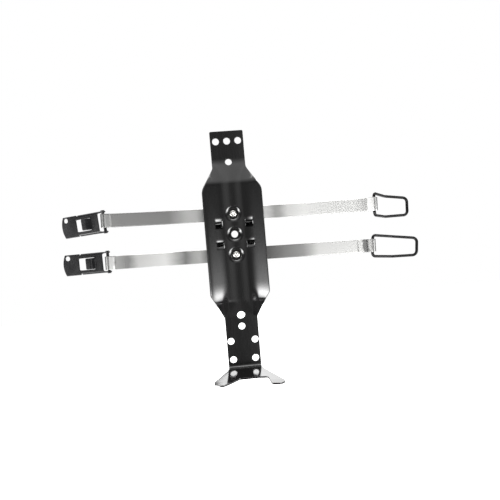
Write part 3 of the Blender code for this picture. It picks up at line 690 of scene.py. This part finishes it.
def swing_frame(which, hand, length, curl, rest):
    """A frame on a pin's or bar's axis in its loop, at the piece's rest place."""
    swing, lean, tilt, slide = rest
    centre = end_frame(length, curl)[0]
    place = Matrix.Translation(point(hand * centre.x, centre.y, 0.0))
    turn = Matrix.Rotation(lean, 4, "Y") @ Matrix.Rotation(tilt, 4, "X")
    turn = turn @ Matrix.Rotation(-hand * swing, 4, "Z")
    return strap_frame(which) @ place @ turn @ Matrix.Translation((0.0, 0.0, slide))


def lever_frame(which):
    """The frame of a lever and its pin."""
    return swing_frame(which, -1, STRAP_LEFT, CURLS[which][0], LEVER_REST[which])


# The hook tongue seen from the side: along the lever, and out from the pin
TONGUE_PATH = rounded([(TONGUE_ROOT - 2 * MM, LEVER_FACE), (TONGUE_ROOT, LEVER_FACE),
                       (TONGUE_ROOT + TONGUE_RISE_LENGTH, LEVER_FACE + TONGUE_RISE),
                       (TONGUE_END, LEVER_FACE + TONGUE_RISE)], [1.0 * MM, 1.8 * MM], 10)
TONGUE_STEPS = [(after - before).length for before, after in zip(TONGUE_PATH, TONGUE_PATH[1:])]
TONGUE_ALONG = np.concatenate([[0.0], np.cumsum(TONGUE_STEPS)]) + TONGUE_PATH[0].x
BEND_ARC = LEVER_BEND * math.pi / 2
BEND_START = LEVER_HALF - LEVER_BEND


def lever_shape(flat):
    """Maps a lever's blank (along, across) to its outer face in the lever's own frame."""
    along, across = flat[:, 0], flat[:, 1]
    out = np.abs(across)
    hand = np.where(across < 0, -1.0, 1.0)
    # Past the middle of the relief slot the web stays flat
    bent = along < FLANGE_END + 0.55 * MM
    past = np.where(bent, np.clip(out - BEND_START, 0.0, None), 0.0)
    turn = np.minimum(past, BEND_ARC) / LEVER_BEND
    down = np.clip(past - BEND_ARC, 0.0, None)
    side = np.where(past > 0, BEND_START + LEVER_BEND * np.sin(turn), out) * hand
    height = LEVER_FACE - LEVER_BEND * (1 - np.cos(turn)) - down
    reach = along.copy()
    # A margin takes in the tongue's cut sides and the start of its bend
    tongue = (out < TONGUE_WIDTH / 2 + 0.3 * MM) & (along > TONGUE_ROOT - 1.5 * MM) & (along < TONGUE_END)
    reach[tongue] = np.interp(along[tongue], TONGUE_ALONG, [place.x for place in TONGUE_PATH])
    height[tongue] = np.interp(along[tongue], TONGUE_ALONG, [place.y for place in TONGUE_PATH])
    return reach, height, side


def flange_place(height):
    """How far from the blank's middle a place on the flange lies, from its height above the pin's axis."""
    return BEND_START + BEND_ARC + (LEVER_FACE - LEVER_BEND) - height


def lever_outline():
    """The lever's blank: web, ears and flanges of both sides, and the rounded pull tab."""
    ear = [(-EAR_HALF * math.sin(turn), flange_place(EAR_DROP * math.cos(turn)))
           for turn in np.linspace(math.radians(65), math.pi, 10)]
    half = [(WEB_START, WEB_START_HALF), (1.5 * MM, flange_place(PIN_RADIUS))] + ear
    half += [(EAR_END, flange_place(-EAR_DROP)), (FLANGE_START, flange_place(-FLANGE_DROP)),
             (FLANGE_CORNER, flange_place(-FLANGE_DROP)), (FLANGE_END, flange_place(0.3 * MM)),
             (FLANGE_END, BEND_START + 0.5 * MM), (FLANGE_END + RELIEF_WIDTH, BEND_START + 0.5 * MM),
             (FLANGE_END + RELIEF_WIDTH, LEVER_HALF)]
    radii = [1.6, 0.8] + [0.3] * len(ear) + [1.0, 1.0, 0.4, 0.4, 0.3, 0.3, 0.3]
    end = []
    for turn in np.linspace(math.asin(0.9 * LEVER_HALF / LEVER_END_RADIUS), 0.0, 6)[:-1]:
        back = LEVER_END_RADIUS * (1 - math.cos(turn))
        end.append((LEVER_LENGTH - back, LEVER_END_RADIUS * math.sin(turn)))
    half += [(end[0][0] - 0.35 * MM, LEVER_HALF)] + end
    radii += [1.2] + [0.5] * len(end)
    corners = half + [(LEVER_LENGTH, 0.0)] + [(along, -across) for along, across in half[::-1]]
    return rounded_loop(corners, radii + [0.5] + radii[::-1], 6)


def lever_window():
    """Edge of the lever's window with the hook tongue still in it."""
    wide = LEVER_WINDOW_HALF
    slim = TONGUE_WIDTH / 2
    corners = [(LEVER_WINDOW_START, -wide), (LEVER_WINDOW_END, -wide), (LEVER_WINDOW_END, wide),
               (LEVER_WINDOW_START, wide), (LEVER_WINDOW_START, slim), (TONGUE_TIP, slim),
               (TONGUE_TIP, -slim), (LEVER_WINDOW_START, -slim)]
    return rounded_loop(corners, [0.35, 0.9, 0.9, 0.35, 0.35, 1.0, 1.0, 0.35], 6)


def make_lever(which):
    """The lever's blank with its window and holes, pressed to shape at its rest place."""
    where = np.array(lever_frame(which))

    def place(flat):
        reach, height, side = lever_shape(flat)
        local = np.stack([-reach, -height, side, np.ones(len(reach))], axis=1)
        return (local @ where.T)[:, :3]

    loops = [lever_outline(), lever_window(), circle(*CORNER_HOLE, CORNER_HOLE_RADIUS, 32)]
    loops += [circle(0.0, hand * flange_place(0.0), PIN_HOLE_RADIUS, 24) for hand in (-1, 1)]
    return pressed(f"lever_pressed_{which}", loops, place, LEVER_SHEET, LEVER_GRAIN, LEVER_EDGE)


def make_pin(which):
    """Turned pin with a flat head outside each ear."""
    reach = LEVER_HALF + SEAT_GAP
    head = [(0.0001, 0.4), (1.35, 0.4), (1.6, 0.34), (1.7, 0.22), (1.7, 0.0)]
    profile = [(radius * MM, -reach - rise * MM) for radius, rise in head]
    profile += [(PIN_RADIUS, -reach), (PIN_RADIUS, reach)]
    profile += [(radius * MM, reach + rise * MM) for radius, rise in head[::-1]]
    return turned(f"pin_turned_{which}", profile, 32, lever_frame(which))


def bail_fold(along):
    """Outward and forward distance of a place on the bail's side, bent at the kink."""
    reach = BAIL_KINK_RADIUS * math.tan(BAIL_KINK / 2)
    start = BAIL_KINK_PLACE - reach
    arc = BAIL_KINK_RADIUS * BAIL_KINK
    if along <= start:
        return along, 0.0
    turn = min(along - start, arc) / BAIL_KINK_RADIUS
    out = start + BAIL_KINK_RADIUS * math.sin(turn)
    forward = BAIL_KINK_RADIUS * (1 - math.cos(turn))
    beyond = max(0.0, along - start - arc)
    return out + beyond * math.cos(BAIL_KINK), forward + beyond * math.sin(BAIL_KINK)


def make_bail(which):
    """A closed ring of round wire, narrower at its free end and kinked towards the cylinder."""
    bar, middle, end = [width / 2 - WIRE_RADIUS
                        for width in (BAIL_BAR_WIDTH, BAIL_KINK_WIDTH, BAIL_END_WIDTH)]
    length = BAIL_LENGTH - 2 * WIRE_RADIUS
    corners = [(0.0, -bar), (0.0, bar), (BAIL_KINK_PLACE, middle), (length, end), (length, -end),
               (BAIL_KINK_PLACE, -middle)]
    radii = [BAIL_RADII[bend] for bend in ("bar", "bar", "side", "end", "end", "side")]
    ring = spaced(rounded_loop(corners, radii, 12), WIRE_STEP)
    path = [point(*bail_fold(across), up) for across, up in ring]
    where = swing_frame(which, 1, STRAP_RIGHT, CURLS[which][1], BAIL_REST[which])
    skin = []
    out = Vector((0.0, 1.0, 0.0))
    for number, place in enumerate(path):
        along = (path[(number + 1) % len(path)] - path[number - 1]).normalized()
        out = (out - along * out.dot(along)).normalized()
        side = along.cross(out)
        skin.append([where @ (place + (out * math.cos(turn) + side * math.sin(turn)) * WIRE_RADIUS)
                     for turn in np.linspace(0.0, math.tau, 20, endpoint=False)])
    return lofted(f"wire_ring_{which}", skin, True)


# Finishes


def colour(code):
    """Linear colour of an sRGB hex value."""
    parts = [int(code[start:start + 2], 16) / 255 for start in (1, 3, 5)]
    linear = [part / 12.92 if part <= 0.04045 else ((part + 0.055) / 1.055) ** 2.4 for part in parts]
    return (*linear, 1.0)


def set_inputs(node, inputs):
    """Sets a node's inputs to values, or links them to another node's first output or to a socket."""
    for name, value in inputs.items():
        if isinstance(value, bpy.types.Node):
            value = value.outputs[0]
        if isinstance(value, bpy.types.NodeSocket):
            node.id_data.links.new(value, node.inputs[name])
        else:
            node.inputs[name].default_value = value


def add_node(tree, kind, inputs, **settings):
    """Adds a node with its settings and inputs."""
    made = tree.nodes.new("ShaderNode" + kind)
    for name, value in settings.items():
        setattr(made, name, value)
    set_inputs(made, inputs)
    return made


def new_finish(name):
    """A new material, with its tree and its shader."""
    made = bpy.data.materials.new(name)
    made.use_nodes = True
    return made, made.node_tree, made.node_tree.nodes["Principled BSDF"]


def cloudy(tree, cell, detail):
    """A cloudy pattern over the object, its cells so many millimetres long along X, Y and Z."""
    place = add_node(tree, "TexCoord", {}).outputs["Object"]
    scale = [1 / (size * MM) for size in cell]
    spread = add_node(tree, "Mapping", {"Vector": place, "Scale": scale})
    return add_node(tree, "TexNoise", {"Vector": spread, "Scale": 1.0, "Detail": detail})


def wear(tree, shader, pattern, smooth, dull):
    """Lets the pattern vary the roughness between a smooth and a dull value."""
    rough = add_node(tree, "MapRange", {"Value": pattern, "From Min": 0.3, "From Max": 0.7,
                                        "To Min": smooth, "To Max": dull})
    set_inputs(shader, {"Roughness": rough})


def relief(tree, shader, pattern, height, strength):
    """Raises the pattern by a height in millimetres."""
    bump = add_node(tree, "Bump", {"Height": pattern, "Distance": height * MM, "Strength": strength})
    set_inputs(shader, {"Normal": bump})


def black_enamel():
    """Stoving enamel sprayed on pressed steel: deep gloss, a faint orange peel and fine rubbing marks.

    The rubbing marks are drawn half a millimetre wide, coarser than real ones, so that they show.
    """
    made, tree, shader = new_finish("stoved_black_enamel")
    set_inputs(shader, {"Base Color": colour("#090909")})
    wear(tree, shader, cloudy(tree, (0.5, 4, 9), 3.0), 0.08, 0.15)
    relief(tree, shader, cloudy(tree, (1.6, 1.6, 1.6), 1.0), 0.02, 0.5)
    return made


def satin_black():
    """Electro-dipped paint on the pressed levers: satin, cloudy, with an even grain.

    The grain is drawn 0.6 mm wide, coarser than the real one, so that it shows.
    """
    made, tree, shader = new_finish("dipped_satin_black")
    set_inputs(shader, {"Base Color": colour("#0c0c0d"), "Specular IOR Level": 0.25})
    wear(tree, shader, cloudy(tree, (7, 7, 7), 2.0), 0.14, 0.26)
    relief(tree, shader, cloudy(tree, (0.6, 0.6, 0.6), 2.0), 0.015, 0.5)
    return made


# Polished steel's colour, and how far the painted reflections along a band are listed to each side, in
# millimetres
STEEL_WHITE = "#fffffd"
RAMP_REACH = 125

# Millimetres right of the rivet, and the painted reflection there: the share of polished steel's colour the
# band gets, bright and dark lengths that stand for the room it mirrors
UPPER_PAINTED_REFLECTIONS = [(-110, 0.16), (-56, 0.2), (-38, 0.45), (-26, 0.55), (30, 0.75), (37, 0.4), (41, 0.45),
                 (48, 0.75), (62, 0.9), (104, 0.7), (114, 0.45), (121, 0.28)]
LOWER_PAINTED_REFLECTIONS = [(-112, 0.16), (-106, 0.16), (-104, 0.42), (-93, 0.28), (-85, 0.6), (-62, 0.75), (-54, 0.5),
                 (-45, 0.22), (-32, 0.5), (27, 0.11), (60, 0.24), (74, 0.48), (113, 0.44), (114, 0.13),
                 (119, 0.13), (120, 0.28), (122, 0.2)]


def rolled_steel(name, lengths):
    """Cold-rolled strip: a dull mirror with painted reflections, bright and dark lengths along the band
    laid into its colour.

    Its rolling lines are drawn 0.6 mm apart, coarser than real ones, so that they show.
    """
    made, tree, shader = new_finish(name)
    spot = add_node(tree, "TexCoord", {}).outputs["Object"]
    across = add_node(tree, "SeparateXYZ", {"Vector": spot}).outputs["X"]
    # Noise wobbles the edges of the painted reflection lengths
    reflection_edge_wobble = cloudy(tree, (9, 9, 5), 3.0)
    shift = add_node(tree, "MapRange", {"Value": reflection_edge_wobble, "From Min": 0.3, "From Max": 0.7,
                                        "To Min": -1.2 * MM, "To Max": 1.2 * MM})
    place = add_node(tree, "Math", {0: across, 1: shift}, operation="ADD")
    share = add_node(tree, "MapRange", {"Value": place, "From Min": -RAMP_REACH * MM,
                                        "From Max": RAMP_REACH * MM})
    # The ramp paints reflections into the steel's colour along the band
    painted_reflection_ramp = add_node(tree, "ValToRGB", {"Fac": share})
    ramp = painted_reflection_ramp.color_ramp
    while len(ramp.elements) < len(lengths):
        ramp.elements.new(0.5)
    red, green, blue, _ = colour(STEEL_WHITE)
    for mark, (where, bright) in zip(ramp.elements, lengths):
        mark.position = (where + RAMP_REACH) / (2 * RAMP_REACH)
        mark.color = (bright * red, bright * green, bright * blue, 1.0)
    set_inputs(shader, {"Base Color": painted_reflection_ramp, "Metallic": 1.0, "Roughness": 0.34})
    relief(tree, shader, cloudy(tree, (60, 60, 0.6), 0.0), 0.01, 0.5)
    return made


def plated_steel():
    """Nickel-plated turned rivets: bright and nearly white, with a fine cloudy grain."""
    made, tree, shader = new_finish("plated_turned_steel")
    set_inputs(shader, {"Base Color": colour("#b4b3af"), "Metallic": 1.0})
    cloud = cloudy(tree, (0.8, 0.8, 0.8), 2.0)
    wear(tree, shader, cloud, 0.24, 0.38)
    relief(tree, shader, cloud, 0.02, 0.3)
    return made


def blackened_wire():
    """Oiled black-oxide wire: dark and smooth, with faint cloudy patches where the oil lies."""
    made, tree, shader = new_finish("blackened_drawn_wire")
    set_inputs(shader, {"Base Color": colour("#0b0b0b"), "Specular IOR Level": 0.12})
    cloud = cloudy(tree, (2.5, 2.5, 2.5), 3.0)
    wear(tree, shader, cloud, 0.24, 0.36)
    relief(tree, shader, cloud, 0.015, 0.4)
    return made


# Camera, stage and light

CAMERA_YAW = math.radians(4.19)
CAMERA_PITCH = math.radians(1.75)
CAMERA_ROLL = math.radians(4.74)
CAMERA_AIM = Vector((0.0, -5 * MM, -18.6 * MM - ORIGIN_LEVEL))
CAMERA_DISTANCE = 450 * MM
SENSOR = 36.0
PIXELS_PER_MM = 1.1404
AIM_PIXEL = (236.4, 255.3)
FRAME_PIXELS = 500


def make_camera():
    """A camera in front of the bracket, a little to its left and above it, rolled about its own axis."""
    right = Vector((math.cos(CAMERA_YAW), -math.sin(CAMERA_YAW), 0.0))
    level = Vector((-math.sin(CAMERA_YAW), -math.cos(CAMERA_YAW), 0.0))
    back = level * math.cos(CAMERA_PITCH) + Vector((0.0, 0.0, math.sin(CAMERA_PITCH)))
    up = Vector((0.0, 0.0, math.cos(CAMERA_PITCH))) - level * math.sin(CAMERA_PITCH)
    side = right * math.cos(CAMERA_ROLL) - up * math.sin(CAMERA_ROLL)
    top = right * math.sin(CAMERA_ROLL) + up * math.cos(CAMERA_ROLL)
    data = bpy.data.cameras.new("camera")
    camera = bpy.data.objects.new("camera", data)
    bpy.context.scene.collection.objects.link(camera)
    turn = Matrix((side, top, back)).transposed().to_4x4()
    camera.matrix_world = Matrix.Translation(CAMERA_AIM + back * CAMERA_DISTANCE) @ turn
    data.sensor_width = SENSOR
    data.lens = SENSOR * PIXELS_PER_MM * CAMERA_DISTANCE / MM / FRAME_PIXELS
    data.shift_x = (FRAME_PIXELS / 2 - AIM_PIXEL[0]) / FRAME_PIXELS
    data.shift_y = (AIM_PIXEL[1] - FRAME_PIXELS / 2) / FRAME_PIXELS
    data.clip_start = 10 * MM
    data.clip_end = 50.0
    bpy.context.scene.camera = camera


def make_stage():
    """A pale floor below the hanging bracket, with a glow for the camera alone that makes it white."""
    half, front, level = 1.5, -0.06, -0.33
    made = make_mesh("floor", [(-half, front, level), (half, front, level), (half, half, level),
                               (-half, half, level)], [(0, 1, 2, 3)])
    paint, tree, shader = new_finish("pale_floor")
    seen = add_node(tree, "LightPath", {}).outputs["Is Camera Ray"]
    set_inputs(shader, {"Base Color": colour("#f2f2f2"), "Roughness": 0.9,
                        "Emission Color": colour("#dadada"), "Emission Strength": seen})
    made.data.materials.append(paint)


# Brightness of the studio as the object mirrors it, where 1 is white paper: the room in front of the
# object, and the wall behind it
ROOM = 0.22
WHITE_WALL = 0.4

# Soft reflectors: degrees to the right of the way out from the wall, degrees above the horizon,
# half width and half height in degrees, and brightness in the middle. Two lie low at the sides and light
# the wings and latches, and two stand as faint upright bands in the centre strip.
REFLECTORS = [(-57.0, -20.0, 29.0, 10.7, 28.0), (49.0, -20.0, 28.0, 10.7, 23.0), (8.5, 0.0, 2.4, 60.0, 0.8),
              (-1.0, 0.0, 2.0, 60.0, 0.7)]

# The ceiling: degrees above the horizon where its light starts and where it is full, and its brightness
CEILING = (17.0, 48.0, 1.7)

# Lamps: place, size and power
LAMP_AIM = Vector((0.0, 0.0, -0.09))
LAMPS = {"lamp_top": ((0.0, -0.25, 1.1), (1.2, 0.7), 16.0),
         "lamp_behind": ((0.37, 0.95, 0.42), (0.66, 0.5), 4.2)}


def reflector(tree, azimuth, height, placed):
    """Brightness of one soft-edged reflector in the direction looked at."""
    right, above, wide, high, level = placed
    aside = add_node(tree, "Math", {0: azimuth, 1: math.radians(right)}, operation="SUBTRACT")
    gap = add_node(tree, "Math", {0: aside}, operation="ABSOLUTE")
    across = add_node(tree, "Math", {0: gap, 1: math.radians(wide)}, operation="DIVIDE")
    rise = add_node(tree, "Math", {0: height, 1: math.radians(above)}, operation="SUBTRACT")
    up = add_node(tree, "Math", {0: rise, 1: math.radians(high)}, operation="DIVIDE")
    across_fade = add_node(tree, "Math", {0: across, 1: 4.0}, operation="POWER")
    up_fade = add_node(tree, "Math", {0: up, 1: up}, operation="MULTIPLY")
    fade = add_node(tree, "Math", {0: across_fade, 1: up_fade}, operation="ADD")
    less = add_node(tree, "Math", {0: fade, 1: -1.0}, operation="MULTIPLY")
    share = add_node(tree, "Math", {0: less}, operation="EXPONENT")
    return add_node(tree, "Math", {0: share, 1: level}, operation="MULTIPLY")


def make_room():
    """A grey room with a white wall behind the object, a bright ceiling and soft reflectors.

    The camera itself sees the wall as plain white.
    """
    world = bpy.data.worlds.new("studio")
    bpy.context.scene.world = world
    world.use_nodes = True
    tree = world.node_tree
    looked = add_node(tree, "TexCoord", {}).outputs["Generated"]
    split = add_node(tree, "SeparateXYZ", {"Vector": looked}).outputs
    forward = add_node(tree, "Math", {0: split["Y"], 1: -1.0}, operation="MULTIPLY")
    azimuth = add_node(tree, "Math", {0: split["X"], 1: forward}, operation="ARCTAN2")
    height = add_node(tree, "Math", {0: split["Z"]}, operation="ARCSINE")
    level = add_node(tree, "MapRange", {"Value": split["Y"], "From Min": 0.0, "From Max": 0.4,
                                        "To Min": ROOM, "To Max": WHITE_WALL})
    low, high, bright = CEILING
    ceiling = add_node(tree, "MapRange", {"Value": height, "From Min": math.radians(low),
                                          "From Max": math.radians(high), "To Min": 0.0, "To Max": bright})
    lights = [ceiling] + [reflector(tree, azimuth, height, placed) for placed in REFLECTORS]
    for light in lights:
        level = add_node(tree, "Math", {0: level, 1: light}, operation="ADD")
    seen = add_node(tree, "LightPath", {}).outputs["Is Camera Ray"]
    mix = add_node(tree, "Mix", {0: seen, 2: level, 3: 1.0}, data_type="FLOAT")
    set_inputs(tree.nodes["Background"], {"Color": colour("#ffffff"), "Strength": mix})


def make_lamps():
    """Soft lamps above and behind the object, aimed at its middle."""
    for name, (place, size, power) in LAMPS.items():
        data = bpy.data.lights.new(name, "AREA")
        data.shape = "RECTANGLE"
        data.size, data.size_y = size
        data.energy = power
        lamp = bpy.data.objects.new(name, data)
        bpy.context.scene.collection.objects.link(lamp)
        lamp.location = place
        lamp.rotation_mode = "QUATERNION"
        lamp.rotation_quaternion = (LAMP_AIM - Vector(place)).to_track_quat("-Z", "Y")


def dress(piece, paint, slot, body, *nodes):
    """Gives a piece its finish and body, and lets it stand for its solids."""
    piece.data.materials.append(paint)
    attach(piece, body)
    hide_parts(*nodes)


def main():
    """Makes and dresses every piece, then the camera, the stage and the light."""
    enamel = black_enamel()
    satin = satin_black()
    plated = plated_steel()
    wire = blackened_wire()
    steel = {"upper": rolled_steel("rolled_spring_steel_upper", UPPER_PAINTED_REFLECTIONS),
             "lower": rolled_steel("rolled_spring_steel_lower", LOWER_PAINTED_REFLECTIONS)}
    dress(make_back_plate(), enamel, "black_paint", "bracket", "back_plate")
    for which in ("upper", "lower"):
        dress(make_strap(which), steel[which], "bright_steel", "bracket", f"strap_{which}")
        dress(make_rivet(which), plated, "rivet_steel", "bracket", f"rivet_{which}")
        dress(make_lever(which), satin, "lever_paint", f"{which}_lever", f"latch_lever_{which}")
        dress(make_pin(which), satin, "lever_paint", f"{which}_lever", f"latch_pin_{which}")
        dress(make_bail(which), wire, "black_wire", f"{which}_bail", f"wire_bail_{which}")
    make_camera()
    make_stage()
    make_room()
    make_lamps()
    bpy.context.scene.view_settings.view_transform = "Standard"


main()
